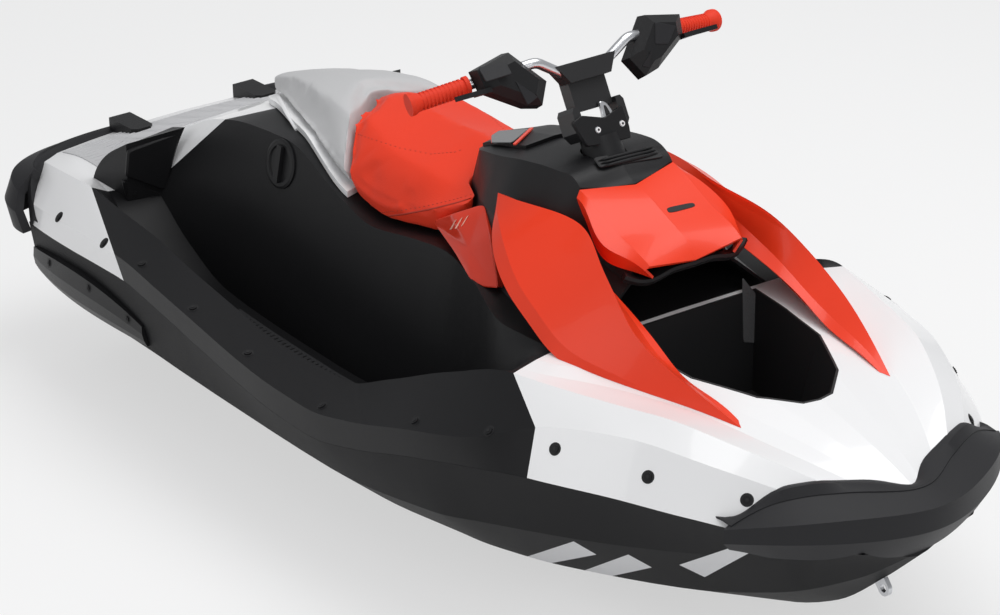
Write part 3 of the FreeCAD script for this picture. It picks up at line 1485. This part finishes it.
def pod_form(grow):
    """The housing round the port arm, its outline drawn from the front and lofted fore and aft."""
    size = mm("pod_size")
    knee, end = bar_points()[-2:]
    share = (mm("pod_place") - knee.y) / (end.y - knee.y)
    centre = knee + (end - knee) * share
    rings = []
    back, front = mm("pod_back"), mm("pod_front")
    for reach, scale in ((-back, 0.66), (-back / 4, 0.96), (front / 2, 0.92), (front, 0.58)):
        drop = (1 - scale) * size * 0.2
        ahead = reach + math.copysign(grow, reach)
        ring = [
            centre + VEC(ahead, y * (size * scale + 2 * grow), z * (size * scale + 2 * grow) - drop)
            for y, z in POD_OUTLINE_SHARES
        ]
        rings.append(Part.makePolygon(ring + ring[:1]))
    return Part.makeLoft(rings, True, True)


def make_pod():
    """The switch and lever housing, bored for the bar."""
    start = along_bar(mm("grip_length + seam_gap"))
    far = along_bar(mm("grip_length + 3 * pod_size"))
    clear = rod(along_bar(0), start, mm("grip_flange_radius + seam_gap"))
    return pod_form(0).cut([rod(start, far, mm("bar_radius + grip_clearance")), clear])


def make_lever():
    """The finger lever ahead of the port grip, hung in the housing's front face."""
    blade, reach, span = mm("lever_blade"), mm("lever_reach"), mm("lever_span")
    root = along_bar(mm("grip_length + lever_blade")) - VEC(0, 0, mm("lever_drop"))
    outline_points = [
        root + VEC(0, -blade, 0),
        root + VEC(reach, -blade / 2, 0),
        root + VEC(reach + blade / 2, span / 4, 0),
        root + VEC(reach, span, 0),
        root + VEC(reach - blade, span, 0),
        root + VEC(reach - blade, span / 4, 0),
        root + VEC(0, blade, 0),
    ]
    flat = [VEC(p.x, p.y, root.z - blade / 2) for p in outline_points]
    solid = Part.Face(Part.makePolygon(flat + flat[:1])).extrude(VEC(0, 0, blade))
    grip_length = mm("grip_length")
    grip_room = rod(along_bar(-grip_length), along_bar(2 * grip_length), mm("grip_end_radius + seam_gap"))
    return largest(solid.cut([pod_form(GAP), grip_room]))


def make_bow_eye():
    """A lug with a round hole, standing square on the stem."""
    plate = bare(
        bound("Part::Box", "eye_base", Length="eye_width", Width="eye_plate", Height="eye_width / 2")
    )
    plate.Placement.Base = VEC(-mm("eye_width / 2"), -mm("eye_plate / 2"), 0)
    upright = FreeCAD.Rotation(VEC(1, 0, 0), -90)
    head = bare(bound("Part::Cylinder", "eye_head", Radius="eye_width / 2", Height="eye_plate"))
    head.Placement = FreeCAD.Placement(VEC(0, -mm("eye_plate / 2"), mm("eye_width / 2")), upright)
    hole = bare(bound("Part::Cylinder", "eye_hole", Radius="eye_radius", Height="3 * eye_plate"))
    hole.Placement = FreeCAD.Placement(VEC(0, -mm("3 * eye_plate / 2"), mm("eye_width / 2")), upright)
    step = mm("eye_width") / HALF_LENGTH
    z = [section(HULL_LINES, BOW_EYE_SHARE + side * step)[-1][1] for side in (-1, 0, 1)]
    slope = math.degrees(math.atan2(z[2] - z[0], mm("2 * eye_width")))
    sag = abs((z[0] + z[2]) / 2 - z[1])
    point = VEC(BOW_EYE_SHARE * HALF_LENGTH, 0, z[1] - sag - GAP)
    eye = carved("bow_eye", joined("eye_lug", [plate, head]), hole)
    return keep("bow_eye", eye, FreeCAD.Placement(point, FreeCAD.Rotation(VEC(0, 1, 0), 180 - slope)))


def make_cap(neighbours):
    """The round fuel cap on the body's starboard side, with a raised grip across it."""
    body = bare(bound("PartDesign::Body", "cap_turned"))
    turned(body, "cap", [
        ("0", "-2 * cap_height"),
        ("cap_radius", "-2 * cap_height"),
        ("cap_radius", "cap_height / 3"),
        ("cap_radius * 9 / 10", "cap_height / 2"),
        ("cap_radius * 3 / 4", "cap_height / 2"),
        ("cap_radius * 7 / 10", "cap_height / 4"),
        ("0", "cap_height / 4"),
    ], "V_Axis")
    bar = bound(
        "Part::Box", "cap_bar", Length="cap_radius / 3", Width="cap_radius * 3 / 2", Height="cap_height"
    )
    bar = bare(bar)
    bar.Placement.Base = VEC(-mm("cap_radius / 6"), -mm("cap_radius * 3 / 4"), 0)
    x_share = CAP_SHARES["x"]
    (y0, z0), (y1, z1) = section(DECK_LINES, x_share)[4:6]
    length = math.hypot(y1 - y0, z1 - z0)
    normal = VEC(0, -(z1 - z0) / length, (y0 - y1) / length)
    spot = VEC(x_share * HALF_LENGTH, -(y0 + (y1 - y0) * CAP_SHARES["up"]), z0 + (z1 - z0) * CAP_SHARES["up"])
    cap = joined("cap_form", [body, bar])
    cap.Placement = FreeCAD.Placement(spot, FreeCAD.Rotation(VEC(0, 0, 1), normal))
    DOC.recompute()
    return feature("fuel_cap", cleared(cap.Shape, neighbours))


def build():
    """Makes every sub-part."""
    block, hull_room = deck_block(), hull_block()
    feature("hull", make_hull())
    stern, tub, bow = make_deck_panels()
    feature("aft_deck", stern)
    feature("deck_tub", tub)
    feature("bow_deck", bow)
    feature("bow_locker", make_tray(block))
    bow_rows = wrapped(grid_of(BOW_BUMPER_SHARES))
    bumper = thick_skin(bow_rows, inward(bow_rows, mm("bumper_wall"), craft_middle))
    feature("bow_bumper", cleared(bumper, [hull_room, bow, block]))
    stern_rows = grid_of(STERN_BUMPER_SHARES)
    bumper = thick_skin(stern_rows, inward(stern_rows, mm("stern_bumper_wall"), craft_middle))
    side_pair("stern_bumper", cleared(bumper, [hull_room, stern, block]))
    console_form = console_block()
    fairing_rows = grid_of(FAIRING_SHARES)
    fairing = thick_skin(fairing_rows, inward(fairing_rows, mm("fairing_wall"), row_middle))
    fairing = cleared(fairing, [block, console_form, tub, bow])
    side_pair("side_fairing", fairing)
    feature("hood", make_hood(0))
    feature("console", make_console(block))
    feature("gauge", make_gauge())
    make_neck()
    side_pair("knee_panel", make_knee_panel([block, tub, console_form, fairing]))
    side_pair("foot_wedge", make_wedge([block, stern, tub]))
    side_pair("sponson", make_sponson(hull_room))
    feature("stern_cleats", make_cleats([block, stern]))
    front, rear, board = make_seats(console_form)
    feature("seat_front", front)
    feature("seat_rear", rear)
    feature("seat_trim", board)
    keep("engine", make_engine())
    keep("pump_housing", make_pump())
    keep("venturi", make_venturi())
    bracket = keep("gimbal_bracket_port", make_bracket())
    twin("gimbal_bracket_starboard", bracket)
    keep("impeller", make_impeller())
    keep("trim_ring", make_trim_ring())
    keep("steering_nozzle", make_nozzle())
    feature("reverse_gate", make_gate())
    keep("ride_plate", make_ride_plate())
    keep("intake_grate", make_grate())
    keep("steering_column", make_column(), STEER)
    keep("bar_riser", make_riser(), STEER)
    feature("handlebar", bar_form(mm("bar_radius")), STEER)
    twin("grip_starboard", make_grip())
    twin("control_pod_starboard", feature("control_pod_port", make_pod(), STEER))
    lever = make_lever()
    feature("levers", Part.makeCompound([lever, lever.mirror(VEC(0, 0, 0), VEC(0, 1, 0))]), STEER)
    make_bow_eye()
    make_cap([block, tub])


def check_and_write():
    """Refuses a failed sub-part, then writes one file for each."""
    DOC.recompute()
    for obj in DOC.Objects:
        if "Invalid" in obj.State or "Error" in obj.State:
            raise RuntimeError(obj.Label + " failed to recompute")
    bad = [obj.Label for obj in SUBPARTS if obj.Shape.isNull() or not obj.Shape.isValid()]
    if bad:
        raise RuntimeError("no valid shape: " + ", ".join(bad))
    os.makedirs("parts", exist_ok=True)
    for obj in SUBPARTS:
        obj.Shape.exportStep("parts/%s.step" % obj.Label)
        print(obj.Label, len(obj.Shape.Solids), "solids", round(obj.Shape.Volume / 1e6, 3), "litres")


build()
check_and_write()
